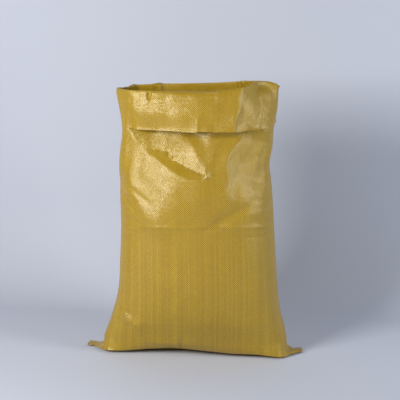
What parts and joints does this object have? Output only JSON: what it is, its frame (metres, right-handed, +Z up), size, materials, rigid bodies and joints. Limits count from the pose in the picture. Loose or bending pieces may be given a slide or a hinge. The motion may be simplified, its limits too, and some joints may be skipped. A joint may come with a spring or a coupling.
{
  "type": "open cement bag",
  "caption": "Filled woven polypropylene sack standing upright, sewn bottom with pointed corners, open mouth turned down into a cuff, powder inside.",
  "frame": {"origin": "on the floor, under the middle of the bottom seam", "axes": "+Z up, the front that the picture shows faces -Y, and +X runs along the bottom seam to the front's right"},
  "size_m": [0.55, 0.257, 0.7005],
  "materials": {
    "woven_tape": "yellow woven polypropylene tape with a soft sheen",
    "cement": "loose dry grey powder",
    "thread": "matt off-white spun thread"
  },
  "bodies": {
    "root": {"woven_sack": "woven_tape", "cement_fill": "cement", "seam_thread": "thread"}
  },
  "joints": []
}
